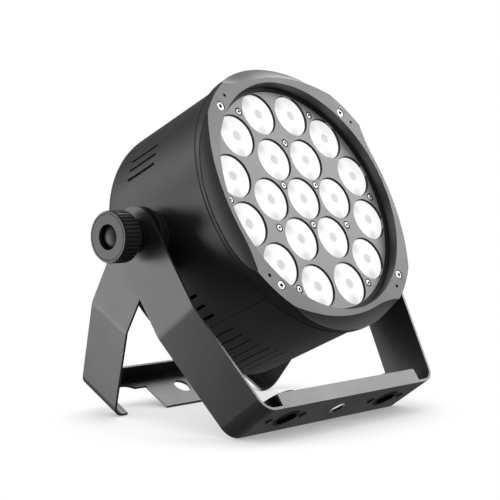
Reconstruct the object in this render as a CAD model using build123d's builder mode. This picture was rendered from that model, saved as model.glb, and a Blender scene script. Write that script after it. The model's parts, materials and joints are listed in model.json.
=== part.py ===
from build123d import *
import os
from math import acos, atan2, cos, degrees, hypot, pi, radians, sin

# A stage wash light: a round head of nineteen lensed LEDs, hung between two
# nested U-shaped brackets that clamp on one axis with a knob at each side.
# The brackets spread to make a floor stand, or close to make one hanging
# yoke.  Millimetres; X runs along the tilt axis, the light faces -Y, Z is up.
# The model is built about the middle of the tilt axis and moved at the end, so
# that its origin is the middle of its footprint, on the floor.

# ---------------------------------------------------------------- dimensions
head_tilt = 24.7            # how far the head looks above level
lens_pitch = 33.4           # spacing of the middle seven lenses
outer_ring = 64.9           # radius of the ring of twelve lenses
lens_radius = 15.0
lens_hole_radius = 15.5

bezel_radius = 96.0
bezel_face = 64.6           # front of the bezel, ahead of the tilt axis
bezel_back = 54.3           # where the bezel meets the housing
opening_radius = 83.2
screw_circle = 88.5         # bezel screws
accessory_circle = 89.8     # holes for a clip-on accessory
accessory_angle = -6.93     # past each bezel screw

shell_radius = 94.0
shell_wall = 3.0
shell_rear = -43.4          # the back rim of the housing
rear_round = 10.0           # rounding of the housing's back edge
panel_radius = 83.2
panel_front = -41.2
panel_thick = 2.0
panel_gap = 0.3
ledge_radius = 78.0

plate_front = 56.2
plate_thick = 1.6
plate_radius = 86.0

sheet = 1.8                 # bracket sheet
strap_width = 38.0
front_half_width = 109.2    # outer face of the outer bracket's arms
rear_half_width = 103.4
front_reach = 141.0         # tilt axis to the outside of each crossbar
rear_reach = 134.8
front_bend = 65.0           # where the arms start to lean inwards
rear_bend = 63.2
front_slope = 0.26          # how much they lean inwards
rear_slope = 0.29
corner_radius = 12.0
rear_lean = 29.5            # the inner bracket leans back, degrees

pivot_radius = 6.0          # journal that the brackets turn on
running_gap = 0.05
stud_radius = 4.0
boss_radius = 16.0
boss_end = 99.9

knob_radius = 16.8
knob_face = 132.0           # outer face of each knob, from the middle
knob_length = 13.0
knob_ribs = 38

quick_lock_half = 53.0      # quarter-turn receptacles, 106 mm apart
mount_hole_radius = 6.5     # M12 clearance

# ------------------------------------------------------------ derived places
half_strap = strap_width / 2
panel_back = panel_front - panel_thick
stand_height = (rear_reach * cos(radians(rear_lean))
                + half_strap * sin(radians(rear_lean)))
front_lean = (degrees(atan2(half_strap, front_reach))
              + degrees(acos(stand_height / hypot(half_strap, front_reach))))

tilt = radians(head_tilt)
head = Plane(origin=(0, 0, 0), x_dir=(1, 0, 0), z_dir=(0, -cos(tilt), sin(tilt)))
lens_centres = [(0, 0)]
lens_centres += [(lens_pitch * cos(pi / 3 * k), lens_pitch * sin(pi / 3 * k)) for k in range(6)]
lens_centres += [(outer_ring * cos(radians(15 + 30 * k)), outer_ring * sin(radians(15 + 30 * k)))
                 for k in range(12)]
lobe_angles = [45, 135, 225, 315]
behind = Plane(origin=(0, 0, 0), x_dir=(-1, 0, 0), z_dir=-head.z_dir)   # the head seen from behind


def arm_plane(lean):
    """Plane across an arm: x along the tilt axis, y up the arm, z across the strap.

    A positive lean takes the crossbar to the back."""
    a = radians(lean)
    return Plane(origin=(0, 0, 0), x_dir=(1, 0, 0), z_dir=(0, -cos(a), -sin(a)))


front_arm = arm_plane(-front_lean)
rear_arm = arm_plane(rear_lean)


def on_head(u, v, n=0.0):
    """A point given across, up and ahead of the tilt axis on the tilted head."""
    return head.from_local_coords(Vector(u, v, n))


def head_direction(angle):
    return head.x_dir * cos(radians(angle)) + head.y_dir * sin(radians(angle))


def section_plane(origin, angle):
    """A plane that holds the head's axis direction: x outwards at angle, y ahead."""
    outwards = head_direction(angle)
    return Plane(origin=origin, x_dir=outwards, z_dir=outwards.cross(head.z_dir))


def polar(radius, angle):
    return (radius * cos(radians(angle)), radius * sin(radians(angle)))


rear_spots = [polar(80.6, 22.5 + 45 * k) for k in range(8)]
pieces = {}


def keep(builder, name):
    """Label a finished piece and put it with the others."""
    builder.part.label = name
    pieces[name] = builder.part


# ================================================================== brackets
bend_radius = 14.0          # where the arms start to lean
profile_top = 40.0          # the straps are cut round well below this


def bracket_profile(half_width, reach, bend, slope):
    """The outside of a U-shaped strap seen flat on, carried well above its round tops."""
    corner = half_width - slope * (reach - bend)
    Polygon((-half_width, profile_top), (-half_width, -bend), (-corner, -reach),
            (corner, -reach), (half_width, -bend), (half_width, profile_top), align=None)


def bracket_strap(plane, half_width, reach, bend, slope):
    """One bent strap, 38 mm wide, with round tops about the tilt axis."""
    with BuildPart() as strap:
        with BuildSketch(plane) as section:
            bracket_profile(half_width, reach, bend, slope)
            fillet(section.vertices().group_by(Axis.Y)[0], corner_radius)
            fillet(section.vertices().group_by(Axis.Y)[-2], bend_radius)
            offset(amount=-sheet, mode=Mode.SUBTRACT)
        extrude(amount=half_strap, both=True)
        side = Plane(origin=(0, 0, 0), x_dir=plane.y_dir, z_dir=(1, 0, 0))
        with BuildSketch(side):
            Circle(half_strap)
            with Locations((-reach / 2, 0)):
                Rectangle(reach, strap_width)
        extrude(amount=half_width + 1, both=True, mode=Mode.INTERSECT)
        with BuildSketch(side):
            Circle(pivot_radius + running_gap)
        extrude(amount=half_width + 1, both=True, mode=Mode.SUBTRACT)
    return strap.part


def crossbar_plane(plane, reach):
    """On the outside of a crossbar, looking up the arms: x along it, y towards -z of the arm."""
    return Plane(origin=plane.origin - plane.y_dir * reach, x_dir=(1, 0, 0), z_dir=plane.y_dir)


front_bar = crossbar_plane(front_arm, front_reach)
rear_bar = crossbar_plane(rear_arm, rear_reach)
flange_half = 73.0
front_flange_height = 10.6
rear_flange_height = 11.8
flange_round = 1.5
receptacle_hole_radius = 9.6
rivet_offset = 16.5
rivet_radius = 1.6
rivet_slack = 0.1
through = 1.0               # how far a cutter passes the faces of what it cuts

with BuildPart() as front_bracket:
    add(bracket_strap(front_arm, front_half_width, front_reach, front_bend, front_slope))
    with BuildSketch(front_arm.offset(half_strap - sheet)) as front_flange:
        with Locations((0, -front_reach + front_flange_height / 2)):
            Rectangle(2 * flange_half, front_flange_height)
        fillet(front_flange.vertices().group_by(Axis.Y)[-1], flange_round)
    extrude(amount=sheet)
    with BuildSketch(front_bar):
        Circle(mount_hole_radius)
        with Locations((-quick_lock_half, 0), (quick_lock_half, 0)):
            Circle(receptacle_hole_radius)
            with Locations((-rivet_offset, 0), (rivet_offset, 0)):
                Circle(rivet_radius + rivet_slack)
    extrude(amount=sheet + through, mode=Mode.SUBTRACT)
keep(front_bracket, "front_bracket")

notch_inner = 31.8
notch_outer = 69.8
notch_top = 6.0             # above the middle of the strap
relief_radius = 13.0        # lets the folded strap clear a receptacle
relief_below = 2.6
relief_middle = 52.0
with BuildPart() as rear_bracket:
    add(bracket_strap(rear_arm, rear_half_width, rear_reach, rear_bend, rear_slope))
    with BuildSketch(rear_arm.offset(-half_strap)) as rear_flange:
        with Locations((0, -rear_reach + rear_flange_height / 2)):
            Rectangle(2 * flange_half, rear_flange_height)
        fillet(rear_flange.vertices().group_by(Axis.Y)[-1], flange_round)
    extrude(amount=sheet)
    with BuildSketch(rear_bar):
        # y of this plane runs up to the strap's rear edge, so the notches open at -y
        for side_sign in (-1, 1):
            middle = side_sign * (notch_inner + notch_outer) / 2
            with Locations((middle, (notch_top - half_strap - through) / 2)):
                Rectangle(notch_outer - notch_inner, half_strap + notch_top + through)
            with Locations((side_sign * relief_middle, -relief_below)):
                Circle(relief_radius)
    extrude(amount=sheet + through, mode=Mode.SUBTRACT)
    with BuildSketch(rear_bar):
        Circle(mount_hole_radius)
    extrude(amount=sheet + through, mode=Mode.SUBTRACT)
keep(rear_bracket, "rear_bracket")


# ---- quarter-turn receptacles on the outer bracket
cup_radius = 12.5
cup_height = 12.0
cup_bore = 9.0
cup_floor = 2.0
ear_half = 20.5
ear_width = 13.0
ear_thick = 1.6
collar_proud = 0.4          # of the crossbar's outside
collar_slack = 0.05
mouth_depth = 2.6
mouth_radius = 7.2
key_slot_length = 16.9
key_slot_width = 5.0
cup_start = 2.0             # from the crossbar's outside to the wide part of the bore
with BuildPart() as receptacles:
    for x in (-quick_lock_half, quick_lock_half):
        with BuildSketch(front_bar.offset(sheet)):
            with Locations((x, 0)):
                SlotOverall(2 * ear_half, ear_width)
                Circle(cup_radius)
        extrude(amount=ear_thick)
        with BuildSketch(front_bar.offset(sheet)):
            with Locations((x, 0)):
                Circle(cup_radius)
        extrude(amount=cup_height)
        # collar that fills the hole in the strap
        with BuildSketch(front_bar.offset(-collar_proud)):
            with Locations((x, 0)):
                Circle(receptacle_hole_radius - collar_slack)
        extrude(amount=sheet + collar_proud)
        with BuildSketch(front_bar.offset(-collar_proud)):
            with Locations((x, 0)):
                Circle(mouth_radius)
                Rectangle(key_slot_length, key_slot_width)
        extrude(amount=mouth_depth + collar_proud, mode=Mode.SUBTRACT)
        with BuildSketch(front_bar.offset(cup_start)):
            with Locations((x, 0)):
                Circle(cup_bore)
        extrude(amount=cup_height + sheet - cup_start - cup_floor, mode=Mode.SUBTRACT)
        with BuildSketch(front_bar.offset(sheet)):
            with Locations((x - rivet_offset, 0), (x + rivet_offset, 0)):
                Circle(rivet_radius + rivet_slack / 2)
        extrude(amount=ear_thick, mode=Mode.SUBTRACT)
keep(receptacles, "quick_lock_receptacles")

rivet_head_radius = 2.8
rivet_head = 0.9
with BuildPart() as receptacle_rivets:
    rivet_spots = [(s * quick_lock_half + o, 0) for s in (-1, 1) for o in (-rivet_offset, rivet_offset)]
    with BuildSketch(front_bar):
        with Locations(*rivet_spots):
            Circle(rivet_radius)
    extrude(amount=sheet + ear_thick)
    for face in (front_bar.offset(-rivet_head), front_bar.offset(sheet + ear_thick)):
        with BuildSketch(face):
            with Locations(*rivet_spots):
                Circle(rivet_head_radius)
        extrude(amount=rivet_head)
keep(receptacle_rivets, "receptacle_rivets")

# ================================================================== housing
gasket_thick = 0.3
quarter_half = 44.91        # degrees each side of a quarter's middle, with a seam at its ends
ledge_thick = 2.6
slot_cut_start = 8.0        # inside the shell's outer face
screw_hole = 1.6            # radius that clears an M3 screw


def shell_quarter(middle_angle, slot_angles, slot_ends, slot_width):
    """A quarter of the housing about the head's axis, with ventilation slots along it."""
    start = section_plane((0, 0, 0), middle_angle - quarter_half)
    with BuildPart() as shell:
        with BuildSketch(start):
            with BuildLine():
                inner = shell_radius - shell_wall
                front = bezel_back - gasket_thick
                corner = shell_radius - rear_round
                bend = shell_rear + rear_round
                ledge = panel_front + ledge_thick
                inner_round = inner - corner
                diagonal = cos(pi / 4)
                seat = panel_radius + panel_gap
                Polyline((inner, ledge + inner_round), (inner, front), (shell_radius, front),
                         (shell_radius, bend))
                ThreePointArc((shell_radius, bend),
                              (corner + rear_round * diagonal, bend - rear_round * diagonal),
                              (corner, shell_rear))
                Polyline((corner, shell_rear), (seat, shell_rear), (seat, panel_front),
                         (ledge_radius, panel_front), (ledge_radius, ledge), (corner, ledge))
                ThreePointArc((corner, ledge),
                              (corner + inner_round * diagonal, ledge + inner_round * (1 - diagonal)),
                              (inner, ledge + inner_round))
            make_face()
        revolve(axis=Axis((0, 0, 0), head.z_dir), revolution_arc=2 * quarter_half)
        for angle in slot_angles:
            out = head_direction(angle)
            centre = on_head(0, 0, sum(slot_ends) / 2) + out * (shell_radius - slot_cut_start)
            with BuildSketch(Plane(origin=centre, x_dir=head.z_dir, z_dir=out)):
                SlotOverall(slot_ends[1] - slot_ends[0], slot_width)
            extrude(amount=slot_cut_start + through, mode=Mode.SUBTRACT)
        with BuildSketch(behind.offset(-ledge)):
            with Locations(*rear_spots):
                Circle(screw_hole)
        extrude(amount=ledge_thick + through, mode=Mode.SUBTRACT)
    return shell


side_slot_pitch = 5.3
side_slot_first = 40.5
side_slots = [s * (side_slot_first - side_slot_pitch * k) for s in (-1, 1) for k in range(3)]
side_slot_ends = (-17.8, 10.3)
side_slot_width = 2.5
fine_slot_pitch = 5.0
fine_slots = [fine_slot_pitch * k for k in range(-8, 9)]
fine_slot_ends = (-26.0, 12.0)
fine_slot_width = 1.1

boss_root = 5.0             # depths below the shell's outer face
collar_root = 12.0
collar_length = 8.0
collar_radius = 9.0
for name, middle in (("housing_right", 0), ("housing_left", 180)):
    sign = 1 if middle == 0 else -1
    shell = shell_quarter(middle, [middle + a for a in side_slots], side_slot_ends, side_slot_width)
    # boss that the brackets clamp against, with the journal's bore through it
    with BuildPart() as side_shell:
        add(shell.part)
        with BuildSketch(Plane.YZ.offset(sign * (shell_radius - boss_root))):
            Circle(boss_radius)
        extrude(amount=sign * (boss_end - shell_radius + boss_root))
        with BuildSketch(Plane.YZ.offset(sign * (shell_radius - collar_root))):
            Circle(collar_radius)
        extrude(amount=sign * collar_length)
        with BuildSketch(Plane.YZ.offset(sign * (shell_radius - collar_root - through))):
            Circle(pivot_radius)
        extrude(amount=sign * (boss_end - shell_radius + collar_root + 2 * through), mode=Mode.SUBTRACT)
    keep(side_shell, name)
for name, middle in (("housing_top", 90), ("housing_bottom", -90)):
    shell = shell_quarter(middle, [middle + a for a in fine_slots], fine_slot_ends, fine_slot_width)
    keep(shell, name)

# ---- frame ring that joins the four shells behind the bezel
ring_outer = shell_radius - shell_wall
ring_inner = 84.5
ring_height = 5.2
ring_middle = 46.6
with BuildPart() as chassis_ring:
    with BuildSketch(section_plane((0, 0, 0), 0)):
        with Locations(((ring_inner + ring_outer) / 2, ring_middle)):
            Rectangle(ring_outer - ring_inner, ring_height)
    revolve(axis=Axis((0, 0, 0), head.z_dir))
    with BuildSketch(head.offset(ring_middle - ring_height)):
        with Locations(*[polar(screw_circle, a) for a in lobe_angles]):
            Circle(1.5)
    extrude(amount=2 * ring_height, mode=Mode.SUBTRACT)
keep(chassis_ring, "chassis_ring")

# ================================================================== bezel
scoop_radius = 126.0        # long curve that eats into the rim between the lobes
scoop_centre = Vector(-22.3, -32.35, 0)
scoop_turn = 60.6           # where the long curve gives way to the short one
rise_radius = 80.0          # short curve back out to the next lobe
spigot_back = 49.5
spigot_radius = 90.7
plate_slack = 0.3
cove_run = (3.9, 9.2, 17.0)     # outwards from the cove's top edge
cove_drop = (4.0, 6.2, 7.4)     # below the bezel's face at each of them


def scoop_cutter(lobe_angle):
    """Coved cut between one lobe and the next, counter-clockwise from the front."""
    lobe = Plane(origin=head.origin, x_dir=head_direction(lobe_angle), z_dir=head.z_dir)
    turn = lobe_angle + scoop_turn
    long_centre = lobe.from_local_coords(scoop_centre)
    short_centre = long_centre + head_direction(turn) * (scoop_radius + rise_radius)
    cuts = []
    for centre, radius, angle, run in ((long_centre, scoop_radius, turn, 1),
                                       (short_centre, rise_radius, turn + 180, -1)):
        with BuildPart(mode=Mode.PRIVATE) as cut:
            with BuildSketch(section_plane(centre, angle)):
                with BuildLine():
                    top = bezel_face
                    cove = [(radius + run * out, top - drop) for out, drop in zip(cove_run, cove_drop)]
                    ThreePointArc((radius, top), cove[0], cove[1])
                    Polyline(cove[1], cove[2], (cove[2][0], top + through), (radius, top + through),
                             (radius, top))
                make_face()
            revolve(axis=Axis(centre, -head.z_dir), revolution_arc=50 if run > 0 else 32)
        cuts.append(cut.part)
    return cuts


lip_back = plate_front + 0.05   # clear of the plate
countersink_radius = 3.35
countersink_depth = 1.9
accessory_radius = 1.25
accessory_depth = 6.0
scoop_parts = [part for angle in lobe_angles for part in scoop_cutter(angle)]
with BuildPart() as front_bezel:
    with BuildSketch(section_plane((0, 0, 0), 0)):
        with BuildLine():
            Polyline((opening_radius, lip_back), (opening_radius, bezel_face),
                     (bezel_radius, bezel_face), (bezel_radius, bezel_back), (spigot_radius, bezel_back),
                     (spigot_radius, spigot_back), (plate_radius + plate_slack, spigot_back),
                     (plate_radius + plate_slack, lip_back), (opening_radius, lip_back))
        make_face()
    revolve(axis=Axis((0, 0, 0), head.z_dir))
    for part in scoop_parts:
        add(part, mode=Mode.SUBTRACT)
    # screw holes with their countersinks, and the accessory holes
    with BuildSketch(head.offset(spigot_back - through)):
        with Locations(*[polar(screw_circle, a) for a in lobe_angles]):
            Circle(screw_hole)
    extrude(amount=bezel_face - spigot_back + 2 * through, mode=Mode.SUBTRACT)
    with BuildSketch(head.offset(bezel_face - countersink_depth)):
        with Locations(*[polar(screw_circle, a) for a in lobe_angles]):
            Circle(countersink_radius)
    extrude(amount=countersink_depth + through, mode=Mode.SUBTRACT)
    with BuildSketch(head.offset(bezel_face - accessory_depth)):
        with Locations(*[polar(accessory_circle, a + accessory_angle) for a in lobe_angles]):
            Circle(accessory_radius)
    extrude(amount=accessory_depth + through, mode=Mode.SUBTRACT)
keep(front_bezel, "front_bezel")


def screws(spots, plane, face, head_radius, head_height, shank_radius, length, cross=0.9):
    """Flat-headed cross-recess screws, their faces at a height on a plane."""
    recess = 0.9
    arm = 2 * head_radius * 0.58
    with BuildPart() as group:
        with BuildSketch(plane.offset(face - length)):
            with Locations(*spots):
                Circle(shank_radius)
        extrude(amount=length)
        with BuildSketch(plane.offset(face - head_height)):
            with Locations(*spots):
                Circle(head_radius)
        extrude(amount=head_height)
        with BuildSketch(plane.offset(face - recess)):
            with Locations(*spots):
                Rectangle(arm, cross)
                Rectangle(cross, arm)
        extrude(amount=recess + through, mode=Mode.SUBTRACT)
    return group


bezel_spots = [polar(screw_circle, a) for a in lobe_angles]
bezel_screw = dict(head_radius=3.1, head_height=1.5, shank_radius=1.48, length=16.5)
keep(screws(bezel_spots, head, bezel_face - 0.3, **bezel_screw), "bezel_screws")

with BuildPart() as gasket:
    with BuildSketch(head.offset(bezel_back - gasket_thick)):
        Circle(shell_radius - 0.4)
        Circle(spigot_radius + 0.2, mode=Mode.SUBTRACT)
    extrude(amount=gasket_thick)
keep(gasket, "bezel_gasket")

# ================================================================== optics
plate_spots = [polar(19.3, 30 + 120 * k) for k in range(3)]
plate_spots += [polar(41.2, 90 + 120 * k) for k in range(3)]
plate_spots += [polar(73.5, 60 * k) for k in range(6)]
plate_back = plate_front - plate_thick
plate_sink_radius = 3.0
plate_sink_depth = 0.5
with BuildPart() as lens_plate:
    with BuildSketch(head.offset(plate_back)):
        Circle(plate_radius)
        with Locations(*lens_centres):
            Circle(lens_hole_radius, mode=Mode.SUBTRACT)
        with Locations(*plate_spots):
            Circle(screw_hole, mode=Mode.SUBTRACT)
    extrude(amount=plate_thick)
    with BuildSketch(head.offset(plate_front - plate_sink_depth)):
        with Locations(*plate_spots):
            Circle(plate_sink_radius)
    extrude(amount=plate_sink_depth + through, mode=Mode.SUBTRACT)
keep(lens_plate, "lens_plate")
plate_screw = dict(head_radius=2.75, head_height=0.5, shank_radius=1.55, length=6.0, cross=0.8)
keep(screws(plate_spots, head, plate_front, **plate_screw), "plate_screws")

board_front = 34.0
board_back = board_front - 1.6
lens_rim = 54.5
lens_crown = 55.3
standoff_radius = 2.2
standoff_bore = 1.56
standoff_tapped = 8.0
board_radius = 81.0
chip_side = 5.0
chip_height = 0.8
dome_radius = 2.2
dome_height = 0.9
with BuildPart() as standoffs:
    with BuildSketch(head.offset(board_front)):
        with Locations(*plate_spots):
            Circle(standoff_radius)
    extrude(amount=plate_back - board_front)
    with BuildSketch(head.offset(plate_back - standoff_tapped)):
        with Locations(*plate_spots):
            Circle(standoff_bore)
    extrude(amount=standoff_tapped, mode=Mode.SUBTRACT)
keep(standoffs, "plate_standoffs")

crown_height = lens_crown - lens_rim
crown_radius = (lens_radius ** 2 + crown_height ** 2) / (2 * crown_height)
crown_start = degrees(acos(lens_radius / crown_radius))
lens_section = section_plane((0, 0, 0), 0)
with BuildPart() as lens_form:
    with BuildSketch(lens_section):
        with BuildLine():
            Polyline((0, 40.0), (3.4, 40.0), (3.4, 38.0), (5.3, 38.0), (12.0, 46.6), (lens_radius, 52.6),
                     (lens_radius, lens_rim))
            CenterArc((0, lens_crown - crown_radius), crown_radius, crown_start, 90 - crown_start)
            Line((0, lens_crown), (0, 40.0))
        make_face()
    revolve(axis=Axis((0, 0, 0), head.z_dir))
with BuildPart() as cup_form:
    with BuildSketch(lens_section):
        with BuildLine():
            Polyline((6.6, 36.1), (8.2, 36.1), (16.3, 50.0), (16.3, 54.3), (15.25, 54.3), (15.25, 51.4),
                     (12.3, 45.4), (6.6, 38.2), (6.6, 36.1))
        make_face()
    revolve(axis=Axis((0, 0, 0), head.z_dir))
head_spots = [Location(on_head(u, v)) for u, v in lens_centres]
with BuildPart() as lenses:
    with Locations(*head_spots):
        add(lens_form.part)
keep(lenses, "lenses")
with BuildPart() as lens_cups:
    with Locations(*head_spots):
        add(cup_form.part)
keep(lens_cups, "lens_cups")

with BuildPart() as led_board:
    with BuildSketch(head.offset(board_back)):
        Circle(board_radius)
        with Locations(*plate_spots):
            Circle(screw_hole, mode=Mode.SUBTRACT)
    extrude(amount=board_front - board_back)
keep(led_board, "led_board")

with BuildPart() as led_emitters:
    with BuildSketch(head.offset(board_front)):
        with Locations(*lens_centres):
            Rectangle(chip_side, chip_side)
    extrude(amount=chip_height)
    with BuildSketch(head.offset(board_front + chip_height)):
        with Locations(*lens_centres):
            Circle(dome_radius)
    extrude(amount=dome_height)
keep(led_emitters, "led_emitters")

# ================================================================== inside
sink_back = 8.0
sink_base = 26.4
sink_radius = 82.0
fin_radius = 74.0
fin_pitch = 8.6
fin_gap = 6.4
fin_gaps = 17
with BuildPart() as heat_sink:
    with BuildSketch(head.offset(sink_base)):
        Circle(sink_radius)
    extrude(amount=board_back - sink_base)
    with BuildSketch(head.offset(sink_back)):
        Circle(fin_radius)
    extrude(amount=sink_base - sink_back)
    with BuildSketch(head.offset(sink_back)):
        with GridLocations(fin_pitch, 1, fin_gaps, 1):
            Rectangle(fin_gap, 2 * sink_radius)
    extrude(amount=sink_base - sink_back, mode=Mode.SUBTRACT)
keep(heat_sink, "heat_sink")

fan_back = -14.0
fan_half = 40.0
fan_thick = 20.0
fan_hole_half = 35.75
fan_holes = [(sx * fan_hole_half, sy * fan_hole_half) for sx in (-1, 1) for sy in (-1, 1)]
fan_duct = 38.0
fan_hub = 15.0
strut_thick = 2.5
spindle_radius = 2.0
spindle_length = 10.0
rotor_lift = 3.2            # from the frame's back to the hub
with BuildPart() as fan_frame:
    with BuildSketch(head.offset(fan_back)):
        RectangleRounded(2 * fan_half, 2 * fan_half, 5)
        Circle(fan_duct, mode=Mode.SUBTRACT)
        with Locations(*fan_holes):
            Circle(2.15, mode=Mode.SUBTRACT)
    extrude(amount=fan_thick)
    with BuildSketch(head.offset(fan_back)):
        Circle(fan_hub)
        for angle in lobe_angles:
            with Locations(Location((0, 0, 0), angle)):
                with Locations((26.5, 0)):
                    Rectangle(25, 4)
    extrude(amount=strut_thick)
    with BuildSketch(head.offset(fan_back + strut_thick)):
        Circle(spindle_radius)
    extrude(amount=spindle_length)
keep(fan_frame, "fan_frame")

blade_count = 7
with BuildPart() as fan_rotor:
    with BuildSketch(head.offset(fan_back + rotor_lift)):
        Circle(fan_hub)
    extrude(amount=15)
    with BuildSketch(head.offset(fan_back + rotor_lift)):
        Circle(spindle_radius + running_gap)
    extrude(amount=strut_thick + spindle_length - rotor_lift + 0.6, mode=Mode.SUBTRACT)
    for k in range(blade_count):
        angle = 360 / blade_count * k
        out = head_direction(angle)
        root = Plane(origin=on_head(0, 0, fan_back + 11) + out * 13.5, x_dir=head.z_dir, z_dir=out)
        with BuildSketch(root):
            with Locations(Location((0, 0, 0), 38)):
                Rectangle(15, 1.6)
        with BuildSketch(root.offset(22.5)):
            with Locations(Location((0, 0, 0), 52)):
                Rectangle(15, 1.2)
        loft()
keep(fan_rotor, "fan_rotor")
fan_screw = dict(head_radius=3.4, head_height=2.0, shank_radius=2.1, length=24.0)
keep(screws(fan_holes, head, fan_back + fan_thick + 2.0, **fan_screw), "fan_screws")

supply_back = -14.0
supply_centre = (0, -62)
terminal_height = 3.0
with BuildPart() as power_supply:
    with BuildSketch(head.offset(supply_back)):
        with Locations(supply_centre):
            RectangleRounded(72, 34, 2)
    extrude(amount=20)
    with BuildSketch(head.offset(supply_back - terminal_height)):
        with Locations(supply_centre):
            Rectangle(50, 9)
    extrude(amount=terminal_height)
keep(power_supply, "power_supply")

control_back = -34.4
control_thick = 1.6
with BuildPart() as control_board:
    with BuildSketch(head.offset(control_back)):
        with Locations((0, 47)):
            Rectangle(66, 54)
    extrude(amount=control_thick)
    with BuildSketch(head.offset(control_back + control_thick)):
        with Locations((-12, 44)):
            Rectangle(14, 14)
        with Locations((16, 60)):
            Rectangle(18, 8)
        with Locations((18, 36)):
            Rectangle(8, 12)
    extrude(amount=3)
keep(control_board, "control_board")

# ================================================================== rear panel
panel_outer = -panel_back   # height of the panel's outside on the plane seen from behind
display_centre = (0, 50)
button_spots = [(x, 28) for x in (-24, -8, 8, 24)]
data_spots = {"data_input": (-26, 1), "data_output": (26, 1)}
mains_spots = {"mains_inlet": (-29, -42), "mains_outlet": (29, -42)}
fuse_spot = (0, -21)
eye_spots = [(-9, 71), (9, 71)]     # one each side, as far apart as the loop is wide
data_screw_offset = (9.5, -12)
flange_screw_spots = [(x + s * data_screw_offset[0], y + s * data_screw_offset[1])
                      for x, y in data_spots.values() for s in (-1, 1)]
latch_rise = 12.2
latch_spot = (data_spots["data_output"][0], data_spots["data_output"][1] + latch_rise)
eye_wire_radius = 2.5
panel_window = (50.4, 18.4)
mains_window = (28.4, 21.4)
data_hole = 11.8
past_the_back = 40.0        # cutters of the sockets run out through the back
fuse_hole = 6.5
button_hole = 3.9

with BuildPart() as rear_panel:
    with BuildSketch(behind.offset(-panel_front)):
        Circle(panel_radius)
        with Locations(display_centre):
            RectangleRounded(*panel_window, 1.5, mode=Mode.SUBTRACT)
        with Locations(*button_spots):
            Circle(button_hole, mode=Mode.SUBTRACT)
        with Locations(*data_spots.values()):
            Circle(data_hole, mode=Mode.SUBTRACT)
        with Locations(*mains_spots.values()):
            RectangleRounded(*mains_window, 2, mode=Mode.SUBTRACT)
        with Locations(fuse_spot):
            Circle(fuse_hole, mode=Mode.SUBTRACT)
        with Locations(*rear_spots):
            Circle(screw_hole, mode=Mode.SUBTRACT)
        with Locations(*eye_spots):
            Circle(eye_wire_radius + running_gap, mode=Mode.SUBTRACT)
        with Locations(latch_spot):
            Rectangle(7, 6, mode=Mode.SUBTRACT)
        with Locations(*flange_screw_spots):
            Circle(screw_hole, mode=Mode.SUBTRACT)
    extrude(amount=panel_thick)
keep(rear_panel, "rear_panel")
rear_screw = dict(head_radius=2.9, head_height=1.4, shank_radius=1.55, length=4.6)
keep(screws(rear_spots, behind, panel_outer + rear_screw["head_height"], **rear_screw), "rear_screws")

window_size = (46, 14.4)
frame_inward = 3.0
with BuildPart() as display_frame:
    with BuildSketch(behind.offset(panel_outer)):
        with Locations(display_centre):
            RectangleRounded(60, 28, 3)
            RectangleRounded(*window_size, 1, mode=Mode.SUBTRACT)
    extrude(amount=1.6)
    with BuildSketch(behind.offset(-panel_front - frame_inward)):
        with Locations(display_centre):
            RectangleRounded(50, 18, 1.4)
            RectangleRounded(*window_size, 1, mode=Mode.SUBTRACT)
    extrude(amount=panel_thick + frame_inward)
keep(display_frame, "display_frame")
with BuildPart() as display_window:
    with BuildSketch(behind.offset(panel_outer - 3.5)):
        with Locations(display_centre):
            RectangleRounded(window_size[0] - 0.2, window_size[1] - 0.2, 0.9)
    extrude(amount=4.3)
keep(display_window, "display_window")

guide_height = 3.2
button_radius = 3.0
button_inward = 3.0
button_proud = 1.4
with BuildPart() as button_guide:
    with BuildSketch(behind.offset(-panel_front - guide_height)):
        with Locations((0, button_spots[0][1])):
            RectangleRounded(60, 9.4, 3)
        with Locations(*button_spots):
            Circle(button_radius + 0.35, mode=Mode.SUBTRACT)
    extrude(amount=guide_height)
keep(button_guide, "button_guide")
for number, spot in enumerate(button_spots, 1):
    with BuildPart() as button:
        with BuildSketch(behind.offset(-panel_front - button_inward)):
            with Locations(spot):
                Circle(button_radius)
        extrude(amount=panel_thick + button_inward + button_proud)
        crown = button.faces().sort_by(Axis(behind.origin, behind.z_dir))[-1]
        fillet(crown.edges(), 0.5)
    keep(button, f"menu_button_{number}")


data_pin_circle = 4.6
data_pin_radius = 1.2
data_flange = 2.2
data_lip = 1.6
data_bore = 9.4
data_insert = 8.0
data_depth = 12.0           # behind the panel's inside
data_floor = 3.0
plug_depth = 8.0


def data_pin_spots(spot):
    turns = [radians(a) for a in (30, 150, 270)]
    return [(spot[0] + data_pin_circle * cos(a), spot[1] + data_pin_circle * sin(a)) for a in turns]


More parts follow.
